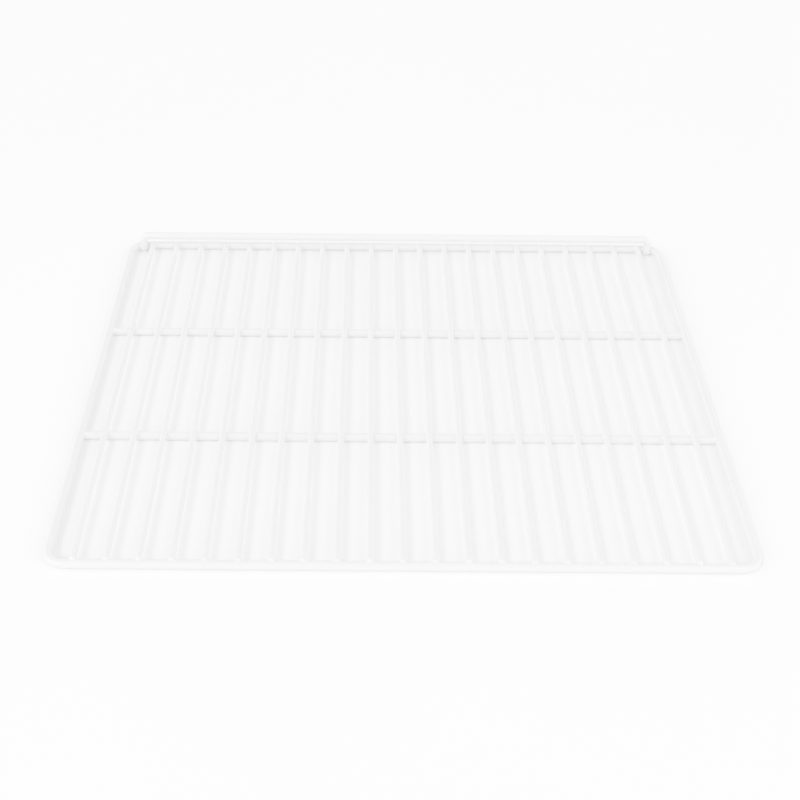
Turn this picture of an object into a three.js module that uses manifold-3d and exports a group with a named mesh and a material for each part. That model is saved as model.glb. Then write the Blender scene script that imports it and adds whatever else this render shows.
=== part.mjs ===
// Coated wire shelf for a display refrigerator: a bent perimeter rod, two cross rods, a deck of
// straight wires welded over them, and a low stop rail standing on the rear edge.
//
// Millimetres. +X is to the right, +Y to the rear, +Z up. The origin is the centre of the
// footprint at the lowest point, the underside of the cross rods.
import * as THREE from 'three';
import { mergeVertices } from 'three/addons/utils/BufferGeometryUtils.js';
import Module from 'manifold-3d';

// Steel gauges, and the thickness of the white coating on them.
const ROD_STEEL_DIAMETER = 6.0;
const WIRE_STEEL_DIAMETER = 4.0;
const COAT_THICKNESS = 0.5;
const ROD_RADIUS = ROD_STEEL_DIAMETER / 2 + COAT_THICKNESS;
const WIRE_RADIUS = WIRE_STEEL_DIAMETER / 2 + COAT_THICKNESS;

// Outside size of the perimeter rod, and the radius of its corner bends at the centreline.
const SHELF_WIDTH = 530;
const SHELF_DEPTH = 430;
const CORNER_BEND_RADIUS = 13;
const HALF_SPAN_X = SHELF_WIDTH / 2 - ROD_RADIUS;
const HALF_SPAN_Y = SHELF_DEPTH / 2 - ROD_RADIUS;

// Deck wires: evenly spaced and centred.
const WIRE_COUNT = 21;
const WIRE_PITCH = 24.1;
const WIRE_HALF_LENGTH = HALF_SPAN_Y - 0.9;

// Cross rods, at a third of the depth from the front and from the rear.
const CROSS_ROD_Y = HALF_SPAN_Y / 3;

// How deep one steel rod sinks into the other where they are welded.
const DECK_WELD_SINK = 0.9;
const RAIL_WELD_SINK = 0.6;

// Heights of the centrelines. The cross rods are the lowest pieces.
const CROSS_ROD_Z = ROD_RADIUS;
const FRAME_Z = CROSS_ROD_Z + 1.5;
const WIRE_Z = CROSS_ROD_Z + (ROD_STEEL_DIAMETER + WIRE_STEEL_DIAMETER) / 2 - DECK_WELD_SINK;

// Rear stop rail: one rod with both ends bent down and welded to the inner side of the rear rod.
const RAIL_LEG_X = 250;
const RAIL_Y = HALF_SPAN_Y - ROD_STEEL_DIAMETER + RAIL_WELD_SINK;
const RAIL_Z = FRAME_Z + 14.5;
const RAIL_FOOT_Z = FRAME_Z - 2.0;
const RAIL_BEND_RADIUS = 6;

// The perimeter rod closes at a butt joint on the rear side, halfway between two deck wires.
const BUTT_JOINT_X = WIRE_PITCH / 2;

// Clearance kept between two pieces where one is notched around the other.
const NOTCH_GAP = 0.3;

// Facets round a section, and steps round a right-angle bend.
const ROD_SIDES = 16;
const WIRE_SIDES = 12;
const STEPS_PER_BEND = 8;

const wasm = await Module();
wasm.setup();

// The centreline of a bent rod: straight runs joined by round bends. It has one station at each
// end of a run and evenly spaced stations round each bend.
class BentRodPath extends THREE.Curve {
  constructor(corners, bendRadius = 0) {
    super();
    this.stations = [];
    const last = corners.length - 1;
    this.addEnd(corners[0], corners[0], corners[1]);
    for (let i = 1; i < last; i++) {
      this.addBend(corners[i - 1], corners[i], corners[i + 1], bendRadius);
    }
    this.addEnd(corners[last], corners[last - 1], corners[last]);
  }

  addEnd(point, from, to) {
    const tangent = to.clone().sub(from).normalize();
    this.stations.push({ point: point.clone(), tangent });
  }

  addBend(before, corner, after, bendRadius) {
    const incoming = corner.clone().sub(before).normalize();
    const outgoing = after.clone().sub(corner).normalize();
    const turn = incoming.angleTo(outgoing);
    const axis = incoming.clone().cross(outgoing).normalize();
    const inward = axis.clone().cross(incoming);
    const start = corner.clone().addScaledVector(incoming, -bendRadius * Math.tan(turn / 2));
    const centre = start.addScaledVector(inward, bendRadius);
    for (let step = 0; step <= STEPS_PER_BEND; step++) {
      const angle = turn * step / STEPS_PER_BEND;
      const arm = inward.clone().multiplyScalar(-bendRadius).applyAxisAngle(axis, angle);
      const tangent = incoming.clone().applyAxisAngle(axis, angle);
      this.stations.push({ point: centre.clone().add(arm), tangent });
    }
  }

  get steps() {
    return this.stations.length - 1;
  }

  getPointAt(u, target = new THREE.Vector3()) {
    return target.copy(this.stations[Math.round(u * this.steps)].point);
  }

  getTangentAt(u, target = new THREE.Vector3()) {
    return target.copy(this.stations[Math.round(u * this.steps)].tangent);
  }
}

// A regular polygon round a circle of the given radius, with flats at the top, bottom and sides.
function roundSection(radius, sides) {
  const cornerRadius = radius / Math.cos(Math.PI / sides);
  const points = [];
  for (let i = 0; i < sides; i++) {
    const angle = (i + 0.5) * 2 * Math.PI / sides;
    points.push(new THREE.Vector2(cornerRadius, 0).rotateAround(new THREE.Vector2(), angle));
  }
  return new THREE.Shape(points);
}

function rodGeometry(path, radius, sides) {
  return new THREE.ExtrudeGeometry(roundSection(radius, sides), {
    steps: path.steps,
    extrudePath: path,
    bevelEnabled: false,
  });
}

function toSolid(geometry) {
  const bare = geometry.clone();
  bare.deleteAttribute('normal');
  bare.deleteAttribute('uv');
  const merged = mergeVertices(bare);
  return new wasm.Manifold(new wasm.Mesh({
    numProp: 3,
    vertProperties: new Float32Array(merged.attributes.position.array),
    triVerts: new Uint32Array(merged.index.array),
  }));
}

function toGeometry(solid) {
  const mesh = solid.getMesh();
  const geometry = new THREE.BufferGeometry();
  geometry.setAttribute('position', new THREE.BufferAttribute(mesh.vertProperties, 3));
  geometry.setIndex(new THREE.BufferAttribute(mesh.triVerts, 1));
  geometry.computeVertexNormals();
  return geometry;
}

// A rod notched to clear its neighbours, each given as a solid grown by the notch gap.
function notchedGeometry(geometry, neighbours) {
  let solid = toSolid(geometry);
  for (const neighbour of neighbours) {
    solid = solid.subtract(neighbour);
  }
  return toGeometry(solid);
}

function coatedMaterial() {
  return new THREE.MeshStandardMaterial({ color: 0xf4f4f2, roughness: 0.38, metalness: 0 });
}

function addPiece(group, name, geometry) {
  const mesh = new THREE.Mesh(geometry, coatedMaterial());
  mesh.name = name;
  group.add(mesh);
  return mesh;
}

function perimeterPath() {
  return new BentRodPath([
    new THREE.Vector3(BUTT_JOINT_X + NOTCH_GAP / 2, HALF_SPAN_Y, FRAME_Z),
    new THREE.Vector3(HALF_SPAN_X, HALF_SPAN_Y, FRAME_Z),
    new THREE.Vector3(HALF_SPAN_X, -HALF_SPAN_Y, FRAME_Z),
    new THREE.Vector3(-HALF_SPAN_X, -HALF_SPAN_Y, FRAME_Z),
    new THREE.Vector3(-HALF_SPAN_X, HALF_SPAN_Y, FRAME_Z),
    new THREE.Vector3(BUTT_JOINT_X - NOTCH_GAP / 2, HALF_SPAN_Y, FRAME_Z),
  ], CORNER_BEND_RADIUS);
}

function crossRodPath(y) {
  return new BentRodPath([
    new THREE.Vector3(-HALF_SPAN_X, y, CROSS_ROD_Z),
    new THREE.Vector3(HALF_SPAN_X, y, CROSS_ROD_Z),
  ]);
}

function wirePath() {
  return new BentRodPath([
    new THREE.Vector3(0, -WIRE_HALF_LENGTH, WIRE_Z),
    new THREE.Vector3(0, WIRE_HALF_LENGTH, WIRE_Z),
  ]);
}

function stopRailPath() {
  return new BentRodPath([
    new THREE.Vector3(-RAIL_LEG_X, RAIL_Y, RAIL_FOOT_Z),
    new THREE.Vector3(-RAIL_LEG_X, RAIL_Y, RAIL_Z),
    new THREE.Vector3(RAIL_LEG_X, RAIL_Y, RAIL_Z),
    new THREE.Vector3(RAIL_LEG_X, RAIL_Y, RAIL_FOOT_Z),
  ], RAIL_BEND_RADIUS);
}

const shelf = new THREE.Group();

addPiece(shelf, 'perimeter_rod', rodGeometry(perimeterPath(), ROD_RADIUS, ROD_SIDES));

const perimeterClearance = toSolid(rodGeometry(perimeterPath(), ROD_RADIUS + NOTCH_GAP, ROD_SIDES));

// The wires and cross rods run up to the perimeter rod, so their ends are coped round it.
const crossRodClearances = [];
for (const [name, y] of [['front_cross_rod', -CROSS_ROD_Y], ['rear_cross_rod', CROSS_ROD_Y]]) {
  const rod = rodGeometry(crossRodPath(y), ROD_RADIUS, ROD_SIDES);
  const beyondSideRods = [-1, 1].map((side) => {
    const offcut = new THREE.BoxGeometry(4 * ROD_RADIUS, 4 * ROD_RADIUS, 4 * ROD_RADIUS);
    offcut.translate(side * (HALF_SPAN_X + ROD_RADIUS), y, CROSS_ROD_Z);
    return toSolid(offcut);
  });
  addPiece(shelf, name, notchedGeometry(rod, [perimeterClearance, ...beyondSideRods]));
  crossRodClearances.push(toSolid(rodGeometry(crossRodPath(y), ROD_RADIUS + NOTCH_GAP, ROD_SIDES)));
}

// Each deck wire sinks a little into the cross rods and lies on the inner shoulder of the
// perimeter rod at both ends. All are alike.
const wireGeometry = notchedGeometry(
  rodGeometry(wirePath(), WIRE_RADIUS, WIRE_SIDES),
  [perimeterClearance, ...crossRodClearances],
);
for (let i = 0; i < WIRE_COUNT; i++) {
  const name = `wire_${String(i + 1).padStart(2, '0')}`;
  const wire = addPiece(shelf, name, wireGeometry);
  wire.position.x = (i - (WIRE_COUNT - 1) / 2) * WIRE_PITCH;
}

const railRod = rodGeometry(stopRailPath(), ROD_RADIUS, ROD_SIDES);
addPiece(shelf, 'rear_stop_rail', notchedGeometry(railRod, [perimeterClearance]));

export default shelf;
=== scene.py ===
"""The looks of the coated wire shelf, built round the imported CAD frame.

Every rod and wire is rebuilt as a fine round tube. Where two of them are welded, the tubes swell
towards each other until they meet on one smooth surface, as the coating does over a weld.
Metres, +X to the right, +Y to the rear, +Z up.
"""

import math

import bpy
import numpy as np
from mathutils import Matrix, Vector


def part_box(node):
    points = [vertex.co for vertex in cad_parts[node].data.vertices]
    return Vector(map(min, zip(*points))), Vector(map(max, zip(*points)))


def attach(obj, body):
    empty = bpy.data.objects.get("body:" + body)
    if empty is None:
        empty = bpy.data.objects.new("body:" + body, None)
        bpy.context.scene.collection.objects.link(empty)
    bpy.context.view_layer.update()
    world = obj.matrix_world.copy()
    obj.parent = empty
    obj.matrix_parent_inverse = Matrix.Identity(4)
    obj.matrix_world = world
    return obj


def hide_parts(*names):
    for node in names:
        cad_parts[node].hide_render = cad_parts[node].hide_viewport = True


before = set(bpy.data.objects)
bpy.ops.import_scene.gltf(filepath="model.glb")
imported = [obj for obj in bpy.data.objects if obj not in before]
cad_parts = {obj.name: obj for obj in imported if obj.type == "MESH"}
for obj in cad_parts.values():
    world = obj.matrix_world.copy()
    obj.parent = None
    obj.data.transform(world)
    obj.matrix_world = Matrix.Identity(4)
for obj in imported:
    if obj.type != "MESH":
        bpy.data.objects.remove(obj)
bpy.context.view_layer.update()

MM = 0.001

# ---------------------------------------------------------------- sizes, from the CAD frame


def middle_and_half(node):
    low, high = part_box(node)
    return (low + high) / 2, (high - low) / 2


# What a node's box doesn't show. The bends are measured at the centreline, as in the CAD.
CORNER_BEND = 13 * MM
RAIL_BEND = 6 * MM
CROSS_ROD_RUN_ON = 1.8 * MM    # a cross rod goes on this far past its CAD end, under the side rod

perimeter_middle, perimeter_half = middle_and_half("perimeter_rod")
ROD_RADIUS = perimeter_half.z
HALF_X = perimeter_half.x - ROD_RADIUS
HALF_Y = perimeter_half.y - ROD_RADIUS
FRAME_Z = perimeter_middle.z

cross_middle, cross_half = middle_and_half("rear_cross_rod")
CROSS_Y = cross_middle.y
CROSS_Z = cross_middle.z
CROSS_HALF_LENGTH = cross_half.x + CROSS_ROD_RUN_ON

WIRE_NODES = sorted(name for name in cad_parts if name.startswith("wire_"))
WIRE_X = np.array([middle_and_half(name)[0].x for name in WIRE_NODES])
wire_middle, wire_half = middle_and_half(WIRE_NODES[0])
WIRE_RADIUS = wire_half.x
WIRE_HALF_LENGTH = wire_half.y
WIRE_Z = wire_middle.z

# The perimeter rod's butt weld, halfway between the middle wire and the next one.
middle_wire = len(WIRE_X) // 2
BUTT_WELD_X = (WIRE_X[middle_wire] + WIRE_X[middle_wire + 1]) / 2

rail_low, rail_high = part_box("rear_stop_rail")
RAIL_LEG_X = rail_high.x - ROD_RADIUS
RAIL_Y = (rail_low.y + rail_high.y) / 2
RAIL_Z = rail_high.z - ROD_RADIUS
RAIL_FOOT_Z = rail_low.z

# ---------------------------------------------------------------- the coating

FILLET = 1.6 * MM          # reach of the coating's fillet at a weld
OVERLAP = 0.5 * MM         # how far each tube follows the fillet past the seam
FILLET_TRIES = 29          # heights above the rod that are tried for the fillet's surface
CUT_EDGE = 1.6 * MM        # rounding of the coating over a cut end
FOOT_EDGE = 2.4 * MM       # the same at the rail's feet, where a bead has gathered

# The coating's thickness varies slowly along a rod, as the sum of a few waves in space.
UNEVENNESS = 0.03 * MM
WAVELENGTHS_IN_MM = (9, 13, 17, 23, 31, 43, 60)
WAVE_SEED = 11

NEGLIGIBLE = 1e-12


def capped_rod(across, along, radius, half_length, edge):
    """Signed distance to a straight rod with rounded edges at its ends.

    The point is given by its distances from the rod's axis and, along it, from its middle.
    """
    beyond_side = across - (radius - edge)
    beyond_end = np.abs(along) - (half_length - edge)
    outside = np.hypot(np.maximum(beyond_side, 0), np.maximum(beyond_end, 0))
    inside = np.minimum(np.maximum(beyond_side, beyond_end), 0)
    return outside + inside - edge


def perimeter_distance(p):
    """Signed distance to the perimeter rod, as one closed loop."""
    beyond_x = np.abs(p[..., 0]) - (HALF_X - CORNER_BEND)
    beyond_y = np.abs(p[..., 1]) - (HALF_Y - CORNER_BEND)
    outside = np.hypot(np.maximum(beyond_x, 0), np.maximum(beyond_y, 0))
    inside = np.minimum(np.maximum(beyond_x, beyond_y), 0)
    return np.hypot(outside + inside - CORNER_BEND, p[..., 2] - FRAME_Z) - ROD_RADIUS


def deck_distance(p):
    """Signed distance to the nearest deck wire."""
    nearest = WIRE_X[np.abs(p[..., 0, None] - WIRE_X).argmin(-1)]
    across = np.hypot(p[..., 0] - nearest, p[..., 2] - WIRE_Z)
    return capped_rod(across, p[..., 1], WIRE_RADIUS, WIRE_HALF_LENGTH, CUT_EDGE)


def cross_rod_distance(p):
    """Signed distance to the nearer cross rod."""
    across = np.hypot(np.abs(p[..., 1]) - CROSS_Y, p[..., 2] - CROSS_Z)
    return capped_rod(across, p[..., 0], ROD_RADIUS, CROSS_HALF_LENGTH, CUT_EDGE)


def rail_leg_distance(p):
    """Signed distance to the nearer leg of the stop rail, leaving out its bend."""
    across = np.hypot(np.abs(p[..., 0]) - RAIL_LEG_X, p[..., 1] - RAIL_Y)
    along = p[..., 2] - (RAIL_FOOT_Z + RAIL_Z) / 2
    return capped_rod(across, along, ROD_RADIUS, (RAIL_Z - RAIL_FOOT_Z) / 2, FOOT_EDGE)


def swell(points, outward, neighbour):
    """How far each point moves outward for the coating to flow on to the neighbour.

    The coating's surface is where the smooth minimum of the two distances is zero. A point that
    would have to go beyond the seam between the two rods stops just past it, inside the fillet.
    """
    rise = np.zeros(len(points))
    near = np.flatnonzero(neighbour(points) < FILLET)
    if len(near) == 0:
        return rise
    tries = np.linspace(0, FILLET, FILLET_TRIES)
    field = np.empty((len(tries), len(near)))
    past_seam = np.empty_like(field)
    for i, own in enumerate(tries):
        other = neighbour(points[near] + own * outward[near])
        lap = np.maximum(FILLET - np.abs(own - other), 0) / FILLET
        field[i] = np.minimum(own, other) - lap**2 * FILLET / 4
        past_seam[i] = own - other - OVERLAP
    rise[near] = np.minimum(first_crossing(tries, field), first_crossing(tries, past_seam))
    return rise


def first_crossing(places, values):
    """The first place, going up each column of values, where they reach zero."""
    reached = values >= 0
    index = np.where(reached.any(0), reached.argmax(0), len(places) - 1)
    column = np.arange(values.shape[1])
    before = np.maximum(index - 1, 0)
    low, high = values[before, column], values[index, column]
    share = np.where(high - low > NEGLIGIBLE, -low / np.maximum(high - low, NEGLIGIBLE), 0)
    found = places[before] + np.clip(share, 0, 1) * (places[index] - places[before])
    return np.where(index == 0, 0, found)


def unevenness(points):
    """A slow, smooth variation between -1 and 1, the same for every piece that passes a point."""
    rng = np.random.default_rng(WAVE_SEED)
    total = np.zeros(len(points))
    for wavelength in WAVELENGTHS_IN_MM:
        direction = rng.normal(size=3)
        direction *= 2 * math.pi / (wavelength * MM) / np.linalg.norm(direction)
        total += np.sin(points @ direction + rng.uniform(0, 2 * math.pi))
    return total / len(WAVELENGTHS_IN_MM)


# ---------------------------------------------------------------- centrelines

NEAREST_SAMPLES = 20001    # places along a line that are tried for the one nearest to a weld
SAME_PLACE = 1e-9


class Centreline:
    """Straight runs joined by round bends, all in one plane."""

    def __init__(self, corners, plane_normal, bend=0.0):
        self.normal = np.array(plane_normal, float)
        self.runs = []
        self.bends = []
        self.length = 0.0
        corners = [np.array(c, float) for c in corners]
        start = corners[0]
        for i in range(1, len(corners) - 1):
            incoming = self.unit(corners[i] - corners[i - 1])
            outgoing = self.unit(corners[i + 1] - corners[i])
            turn = math.acos(np.clip(incoming @ outgoing, -1, 1))
            setback = bend * math.tan(turn / 2)
            self.add_straight(start, corners[i] - incoming * setback)
            self.add_bend(corners[i] - incoming * setback, incoming, outgoing, turn, bend)
            start = corners[i] + outgoing * setback
        self.add_straight(start, corners[-1])

    @staticmethod
    def unit(v):
        return v / np.linalg.norm(v)

    def add_straight(self, start, end):
        length = np.linalg.norm(end - start)
        direction = (end - start) / length

        def place(s):
            return start + s[:, None] * direction, np.tile(direction, (len(s), 1))

        self.runs.append((self.length, length, place))
        self.length += length

    def add_bend(self, start, incoming, outgoing, turn, bend):
        inward = self.unit(outgoing - incoming * (incoming @ outgoing))
        centre = start + inward * bend

        def place(s):
            angle = (s / bend)[:, None]
            points = centre + bend * (np.sin(angle) * incoming - np.cos(angle) * inward)
            return points, np.cos(angle) * incoming + np.sin(angle) * inward

        self.runs.append((self.length, bend * turn, place))
        self.bends.append((self.length, self.length + bend * turn))
        self.length += bend * turn

    def at(self, s):
        """The points and the tangents at the given distances along the line."""
        points = np.empty((len(s), 3))
        tangents = np.empty((len(s), 3))
        for start, length, place in self.runs:
            here = (s >= start - SAME_PLACE) & (s <= start + length + SAME_PLACE)
            points[here], tangents[here] = place(s[here] - start)
        return points, tangents

    def nearest(self, target):
        """The distance along the line to the point closest to the target."""
        s = np.linspace(0, self.length, NEAREST_SAMPLES)
        points, _ = self.at(s)
        return s[np.linalg.norm(points - np.array(target), axis=1).argmin()]


# ---------------------------------------------------------------- tubes

ROD_SIDES = 40
WIRE_SIDES = 36

FINE_STEP = 0.5 * MM       # ring spacing at a weld
BEND_STEP = 1.0 * MM       # in a bend
COARSE_STEP = 4.0 * MM     # and on a plain run
WELD_REACH = 7.0 * MM      # half the length of rod that a weld affects
STEP_GROWTH = 0.3          # how fast the spacing widens with the distance from a weld or bend
SPACING_SAMPLES = 8001     # places along a line where the spacing is worked out

EDGE_POINTS = 8                  # points over the quarter turn of a cut end's edge
FACE_RINGS = (0.7, 0.4, 0.15)    # rings on its flat face, as shares of the face's radius


def ring_places(line, welds, start, end):
    """Distances along a line for the rings of a tube: close together at the welds and bends."""
    s = np.linspace(start, end, SPACING_SAMPLES)
    gap = np.full(len(s), COARSE_STEP)
    for weld in welds:
        away = np.maximum(np.abs(s - weld) - WELD_REACH, 0)
        gap = np.minimum(gap, FINE_STEP + STEP_GROWTH * away)
    for low, high in line.bends:
        away = np.maximum(np.maximum(low - s, s - high), 0)
        gap = np.minimum(gap, BEND_STEP + STEP_GROWTH * away)
    count = np.concatenate([[0], np.cumsum((s[1:] - s[:-1]) * 2 / (gap[1:] + gap[:-1]))])
    wanted = np.linspace(0, count[-1], math.ceil(count[-1]) + 1)
    return np.interp(wanted, count, s)


def end_rings(radius, edge):
    """The rounded edge and flat face of a cut end.

    Each ring is (distance past the last full ring, radius, tilt of the surface).
    """
    rings = []
    for tilt in np.linspace(0, math.pi / 2, EDGE_POINTS)[1:]:
        rings.append((edge * math.sin(tilt), radius - edge + edge * math.cos(tilt), tilt))
    for share in FACE_RINGS:
        rings.append((edge, (radius - edge) * share, math.pi / 2))
    return rings


def tube_rings(line, radius, welds, closed, edge):
    """All the rings of a tube, as (distance along the line, radius, tilt of the surface)."""
    if closed:
        return [(s, radius, 0.0) for s in ring_places(line, welds, 0, line.length)[:-1]]
    tip = end_rings(radius, edge)
    rings = [(edge - past, r, -tilt) for past, r, tilt in reversed(tip)]
    rings += [(s, radius, 0.0) for s in ring_places(line, welds, edge, line.length - edge)]
    rings += [(line.length - edge + past, r, tilt) for past, r, tilt in tip]
    return rings


def tube_faces(ring_count, sides, closed):
    """Quads between one ring and the next, and triangles from the end rings to the end points."""
    ids = np.arange(ring_count * sides).reshape(ring_count, sides)
    following = np.roll(ids, -1, axis=0) if closed else ids[1:]
    current = ids if closed else ids[:-1]
    quads = np.stack([current, following, np.roll(following, -1, 1), np.roll(current, -1, 1)], -1)
    faces = quads.reshape(-1, 4).tolist()
    if not closed:
        first_end = ring_count * sides
        last_end = first_end + 1
        for a, b in zip(ids[0], np.roll(ids[0], -1)):
            faces.append([first_end, a, b])
        for a, b in zip(ids[-1], np.roll(ids[-1], -1)):
            faces.append([last_end, b, a])
    return faces


def tube(line, radius, sides, welds, closed, edge):
    """A round tube's points, the direction in which each faces, and its faces."""
    rings = tube_rings(line, radius, welds, closed, edge)
    place, ring_radius, tilt = np.array(rings).T
    centres, tangents = line.at(place)
    across = np.cross(tangents, line.normal)
    angle = np.linspace(0, 2 * math.pi, sides, endpoint=False)[None, :, None]
    spoke = np.cos(angle) * across[:, None] + np.sin(angle) * line.normal
    tilt = tilt[:, None, None]
    outward = (np.cos(tilt) * spoke + np.sin(tilt) * tangents[:, None]).reshape(-1, 3)
    points = (centres[:, None] + ring_radius[:, None, None] * spoke).reshape(-1, 3)
    if not closed:
        ends, facing = line.at(np.array([0, line.length]))
        points = np.concatenate([points, ends])
        outward = np.concatenate([outward, [-facing[0], facing[1]]])
    return points, outward, tube_faces(len(rings), sides, closed)


# ---------------------------------------------------------------- materials

# A noise texture's values are mostly between these two.
NOISE_LOW = 0.3
NOISE_HIGH = 0.7


class Tree:
    """Short calls for building the nodes of a material or a world."""

    def __init__(self, owner, coordinates):
        owner.use_nodes = True
        self.nodes = owner.node_tree.nodes
        self.links = owner.node_tree.links
        self.place = self.nodes.new("ShaderNodeTexCoord").outputs[coordinates]

    def link(self, source, target):
        self.links.new(source, target)

    def noise(self, scale, detail):
        node = self.nodes.new("ShaderNodeTexNoise")
        node.inputs["Scale"].default_value = scale
        node.inputs["Detail"].default_value = detail
        self.link(self.place, node.inputs["Vector"])
        return node.outputs["Fac"]

    def cells(self, scale):
        """The distance to the middle of the nearest of many scattered cells, in cells."""
        node = self.nodes.new("ShaderNodeTexVoronoi")
        node.inputs["Scale"].default_value = scale
        self.link(self.place, node.inputs["Vector"])
        return node.outputs["Distance"]

    def ramp(self, source, *stops):
        """A colour for each value of the source, from stops of (value, colour)."""
        node = self.nodes.new("ShaderNodeValToRGB")
        elements = node.color_ramp.elements
        while len(elements) < len(stops):
            elements.new(0.5)
        for element, (position, colour) in zip(elements, stops):
            element.position = position
            element.color = (*colour, 1)
        self.link(source, node.inputs["Fac"])
        return node.outputs["Color"]

    def range(self, source, from_low, from_high, to_low, to_high):
        node = self.nodes.new("ShaderNodeMapRange")
        node.inputs["From Min"].default_value = from_low
        node.inputs["From Max"].default_value = from_high
        node.inputs["To Min"].default_value = to_low
        node.inputs["To Max"].default_value = to_high
        self.link(source, node.inputs["Value"])
        return node.outputs["Result"]

    def bump(self, height, distance, strength, under=None):
        node = self.nodes.new("ShaderNodeBump")
        node.inputs["Distance"].default_value = distance
        node.inputs["Strength"].default_value = strength
        self.link(height, node.inputs["Height"])
        if under is not None:
            self.link(under, node.inputs["Normal"])
        return node.outputs["Normal"]

    def mix(self, share, first, second):
        node = self.nodes.new("ShaderNodeMix")
        node.data_type = "RGBA"
        self.link(share, node.inputs["Factor"])
        self.link(first, node.inputs["A"])
        node.inputs["B"].default_value = (*second, 1)
        return node.outputs["Result"]


def grey(value):
    return (value, value, value)


def coating_material():
    """White plastic coating: glossy, faintly uneven like orange peel, with a few tiny specks.

    The scales of its textures are in cells per metre, and a speck's size is in cells.
    """
    material = bpy.data.materials.new("white_coating")
    tree = Tree(material, "Object")
    surface = tree.nodes["Principled BSDF"]
    darker = (0.735, 0.735, 0.73)
    lighter = (0.76, 0.76, 0.755)
    speck_colour = (0.5, 0.49, 0.47)
    speck_radius = 0.028
    speck_fades_by = 0.045
    blotches = tree.noise(scale=22, detail=3)
    tint = tree.ramp(blotches, (NOISE_LOW, darker), (NOISE_HIGH, lighter))
    speck = tree.ramp(tree.cells(95), (speck_radius, grey(1)), (speck_fades_by, grey(0)))
    tree.link(tree.mix(speck, tint, speck_colour), surface.inputs["Base Color"])
    sheen = tree.noise(scale=160, detail=2)
    roughness = tree.range(sheen, NOISE_LOW, NOISE_HIGH, to_low=0.16, to_high=0.24)
    tree.link(roughness, surface.inputs["Roughness"])
    waves = tree.bump(tree.noise(scale=240, detail=1), distance=0.03 * MM, strength=0.3)
    orange_peel = tree.noise(scale=900, detail=1)
    peel = tree.bump(orange_peel, distance=0.006 * MM, strength=0.3, under=waves)
    tree.link(peel, surface.inputs["Normal"])
    surface.inputs["IOR"].default_value = 1.6
    return material


def floor_material():
    material = bpy.data.materials.new("pale_floor")
    tree = Tree(material, "Object")
    surface = tree.nodes["Principled BSDF"]
    blotches = tree.noise(scale=3, detail=2)
    tint = tree.ramp(blotches, (NOISE_LOW, grey(0.945)), (NOISE_HIGH, grey(0.955)))
    tree.link(tint, surface.inputs["Base Color"])
    surface.inputs["Roughness"].default_value = 0.75
    surface.inputs["Specular IOR Level"].default_value = 0.2
    return material


# ---------------------------------------------------------------- the pieces

coating = coating_material()


def add_object(name, data):
    thing = bpy.data.objects.new(name, data)
    bpy.context.scene.collection.objects.link(thing)
    return thing


def coated_piece(node, line, radius, sides, welds, neighbours, closed=False, edge=CUT_EDGE):
    """The visible piece for a CAD node: a tube that flows on to the rods it is welded to."""
    points, outward, faces = tube(line, radius, sides, welds, closed, edge)
    rise = np.zeros(len(points))
    for neighbour in neighbours:
        rise = np.maximum(rise, swell(points, outward, neighbour))
    points = points + rise[:, None] * outward
    thickness = UNEVENNESS * (unevenness(points) - 1)
    points = points + thickness[:, None] * outward
    mesh = bpy.data.meshes.new(f"coated_{node}")
    mesh.from_pydata(points.tolist(), [], faces)
    mesh.validate()
    mesh.shade_smooth()
    mesh.materials.append(coating)
    piece = add_object(f"coated_{node}", mesh)
    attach(piece, "root")
    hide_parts(node)


def build_perimeter_rod():
    line = Centreline([
        (BUTT_WELD_X, HALF_Y, FRAME_Z),
        (HALF_X, HALF_Y, FRAME_Z),
        (HALF_X, -HALF_Y, FRAME_Z),
        (-HALF_X, -HALF_Y, FRAME_Z),
        (-HALF_X, HALF_Y, FRAME_Z),
        (BUTT_WELD_X, HALF_Y, FRAME_Z),
    ], (0, 0, 1), CORNER_BEND)
    weld_points = [(x, side * HALF_Y, FRAME_Z) for x in WIRE_X for side in (-1, 1)]
    weld_points += [(sx * HALF_X, sy * CROSS_Y, FRAME_Z) for sx in (-1, 1) for sy in (-1, 1)]
    weld_points += [(side * RAIL_LEG_X, HALF_Y, FRAME_Z) for side in (-1, 1)]
    welds = [line.nearest(point) for point in weld_points]
    neighbours = [deck_distance, cross_rod_distance, rail_leg_distance]
    coated_piece("perimeter_rod", line, ROD_RADIUS, ROD_SIDES, welds, neighbours, closed=True)


def build_cross_rod(node, y):
    ends = [(-CROSS_HALF_LENGTH, y, CROSS_Z), (CROSS_HALF_LENGTH, y, CROSS_Z)]
    line = Centreline(ends, (0, 0, 1))
    welds = [x + CROSS_HALF_LENGTH for x in WIRE_X] + [0, line.length]
    neighbours = [deck_distance, perimeter_distance]
    coated_piece(node, line, ROD_RADIUS, ROD_SIDES, welds, neighbours)


def build_wire(node, x):
    ends = [(x, -WIRE_HALF_LENGTH, WIRE_Z), (x, WIRE_HALF_LENGTH, WIRE_Z)]
    line = Centreline(ends, (0, 0, 1))
    welds = [0, WIRE_HALF_LENGTH - CROSS_Y, WIRE_HALF_LENGTH + CROSS_Y, line.length]
    neighbours = [cross_rod_distance, perimeter_distance]
    coated_piece(node, line, WIRE_RADIUS, WIRE_SIDES, welds, neighbours)


def build_stop_rail():
    line = Centreline([
        (-RAIL_LEG_X, RAIL_Y, RAIL_FOOT_Z),
        (-RAIL_LEG_X, RAIL_Y, RAIL_Z),
        (RAIL_LEG_X, RAIL_Y, RAIL_Z),
        (RAIL_LEG_X, RAIL_Y, RAIL_FOOT_Z),
    ], (0, 1, 0), RAIL_BEND)
    welds = [0, line.length]
    neighbours = [perimeter_distance]
    coated_piece("rear_stop_rail", line, ROD_RADIUS, ROD_SIDES, welds, neighbours, edge=FOOT_EDGE)


build_perimeter_rod()
build_cross_rod("front_cross_rod", -CROSS_Y)
build_cross_rod("rear_cross_rod", CROSS_Y)
for wire_node, wire_x in zip(WIRE_NODES, WIRE_X):
    build_wire(wire_node, wire_x)
build_stop_rail()

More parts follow.
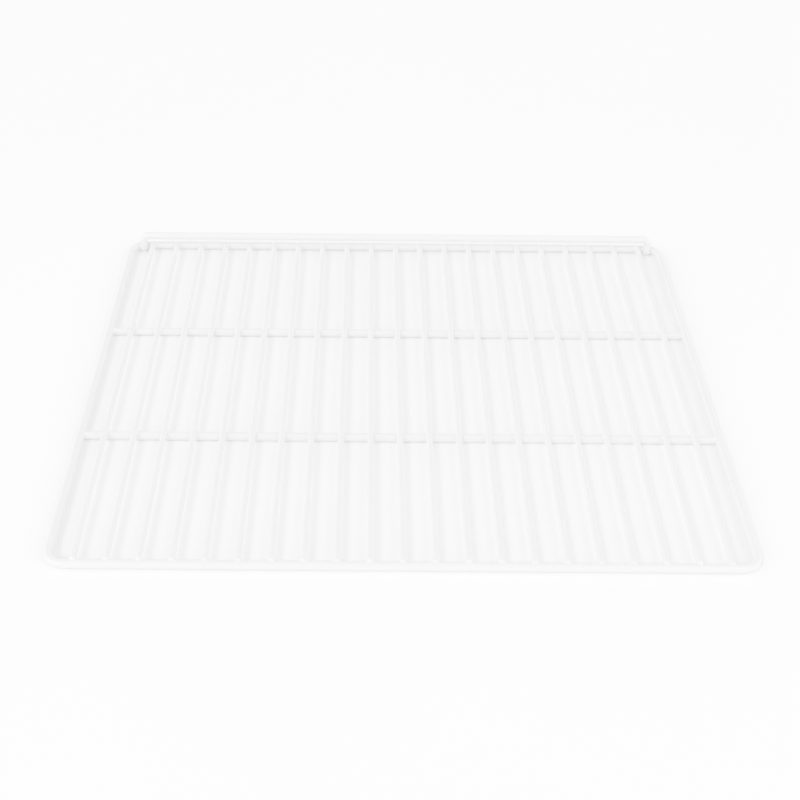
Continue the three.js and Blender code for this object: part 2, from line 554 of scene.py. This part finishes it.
# ---------------------------------------------------------------- floor and light

FLOOR_HALF_SIZE = 30.0

# Grey of the studio by the height of the direction looked in, from 0 when level to 1 straight up.
STUDIO_GREYS = ((0.3, 1.0), (0.42, 0.3), (0.74, 0.3), (0.86, 0.6))
FRONT_STRENGTH = 0.9
REAR_STRENGTH = 1.5

# Widths of the far lights as seen from the shelf, in degrees.
WINDOW_WIDTH = 16
WALL_WIDTH = 40

SOFTBOX_SIZE = 0.5
SOFTBOX_WATTS = 0.7


def build_floor():
    half = FLOOR_HALF_SIZE
    corners = [(-half, -half, 0), (half, -half, 0), (half, half, 0), (-half, half, 0)]
    mesh = bpy.data.meshes.new("floor")
    mesh.from_pydata(corners, [], [(0, 1, 2, 3)])
    mesh.materials.append(floor_material())
    floor = add_object("floor", mesh)


def shine_from(light, place):
    """Point a light at the origin from where it stands, or from far away in that direction."""
    light.rotation_euler = (-Vector(place)).to_track_quat("-Z", "Y").to_euler()


def soft_light(name, place):
    """A square softbox."""
    lamp = bpy.data.lights.new(name, "AREA")
    lamp.shape = "SQUARE"
    lamp.size = SOFTBOX_SIZE
    lamp.energy = SOFTBOX_WATTS
    light = add_object(name, lamp)
    light.location = place
    shine_from(light, place)


def far_light(name, direction, strength, width):
    """Soft light from far away, as strong on the whole floor as on the shelf."""
    lamp = bpy.data.lights.new(name, "SUN")
    lamp.angle = math.radians(width)
    lamp.energy = strength
    shine_from(add_object(name, lamp), direction)


def build_surroundings():
    """A white studio: pale walls low down, a dimmer band above them and a bright ceiling.

    The side behind the shelf is brighter than the side that the camera stands on.
    """
    world = bpy.data.worlds.new("studio")
    tree = Tree(world, "Generated")
    direction = tree.nodes.new("ShaderNodeSeparateXYZ")
    tree.link(tree.place, direction.inputs["Vector"])
    stops = [(height, grey(value)) for height, value in STUDIO_GREYS]
    colour = tree.ramp(direction.outputs["Z"], *stops)
    strength = tree.range(direction.outputs["Y"], -1, 1, FRONT_STRENGTH, REAR_STRENGTH)
    background = tree.nodes["Background"]
    tree.link(colour, background.inputs["Color"])
    tree.link(strength, background.inputs["Strength"])
    bpy.context.scene.world = world


def build_lights():
    """Windows and softboxes in front on both sides, and low walls of light to the left and right.

    The wires stop much of the low light, so the floor between them is greyer than the rest.
    """
    build_surroundings()
    far_light("left_window", (-0.58, -0.7, 0.85), 0.9, WINDOW_WIDTH)
    far_light("left_wall", (-1, -0.2, 0.5), 0.7, WALL_WIDTH)
    far_light("right_wall", (1, -0.2, 0.5), 0.6, WALL_WIDTH)
    far_light("right_window", (0.62, -0.7, 0.85), 0.42, WINDOW_WIDTH)
    soft_light("left_softbox", (-0.58, -0.75, 0.75))
    soft_light("right_softbox", (0.58, -0.75, 0.75))


build_floor()
build_lights()

# ---------------------------------------------------------------- camera and tones

# The camera of the reference view. Its place is in shares of the span between the side rods.
ELEVATION = math.radians(40.42)
YAW = math.radians(0.22)
ROLL = math.radians(0.61)
SPAN = 2 * HALF_X
CAMERA_DISTANCE = 1.937 * SPAN
CAMERA_TARGET = Vector((-0.0470 * SPAN, -0.0474 * SPAN, FRAME_Z))
SENSOR_WIDTH = 36
FOCAL_LENGTH = 53.69
SIDEWAYS_SHIFT = 0.0375

# A slightly low exposure with a high gamma keeps the pale tones close together, near white.
EXPOSURE = -0.19
GAMMA = 3.1


def build_camera():
    """Almost square on, a little to the left of the middle and about 40 degrees up."""
    forward = Vector((
        math.sin(YAW) * math.cos(ELEVATION),
        math.cos(YAW) * math.cos(ELEVATION),
        -math.sin(ELEVATION),
    ))
    level_right = Vector((math.cos(YAW), -math.sin(YAW), 0))
    level_up = level_right.cross(forward)
    right = level_right * math.cos(ROLL) + level_up * math.sin(ROLL)
    up = level_up * math.cos(ROLL) - level_right * math.sin(ROLL)
    lens = bpy.data.cameras.new("camera")
    lens.sensor_width = SENSOR_WIDTH
    lens.lens = FOCAL_LENGTH
    lens.shift_x = SIDEWAYS_SHIFT
    lens.clip_start = 0.01
    lens.clip_end = 50
    camera = add_object("camera", lens)
    turn = Matrix((right, up, -forward)).transposed().to_4x4()
    camera.matrix_world = Matrix.Translation(CAMERA_TARGET - forward * CAMERA_DISTANCE) @ turn
    bpy.context.scene.camera = camera


build_camera()
bpy.context.scene.view_settings.view_transform = "Standard"
bpy.context.scene.view_settings.exposure = EXPOSURE
bpy.context.scene.view_settings.gamma = GAMMA
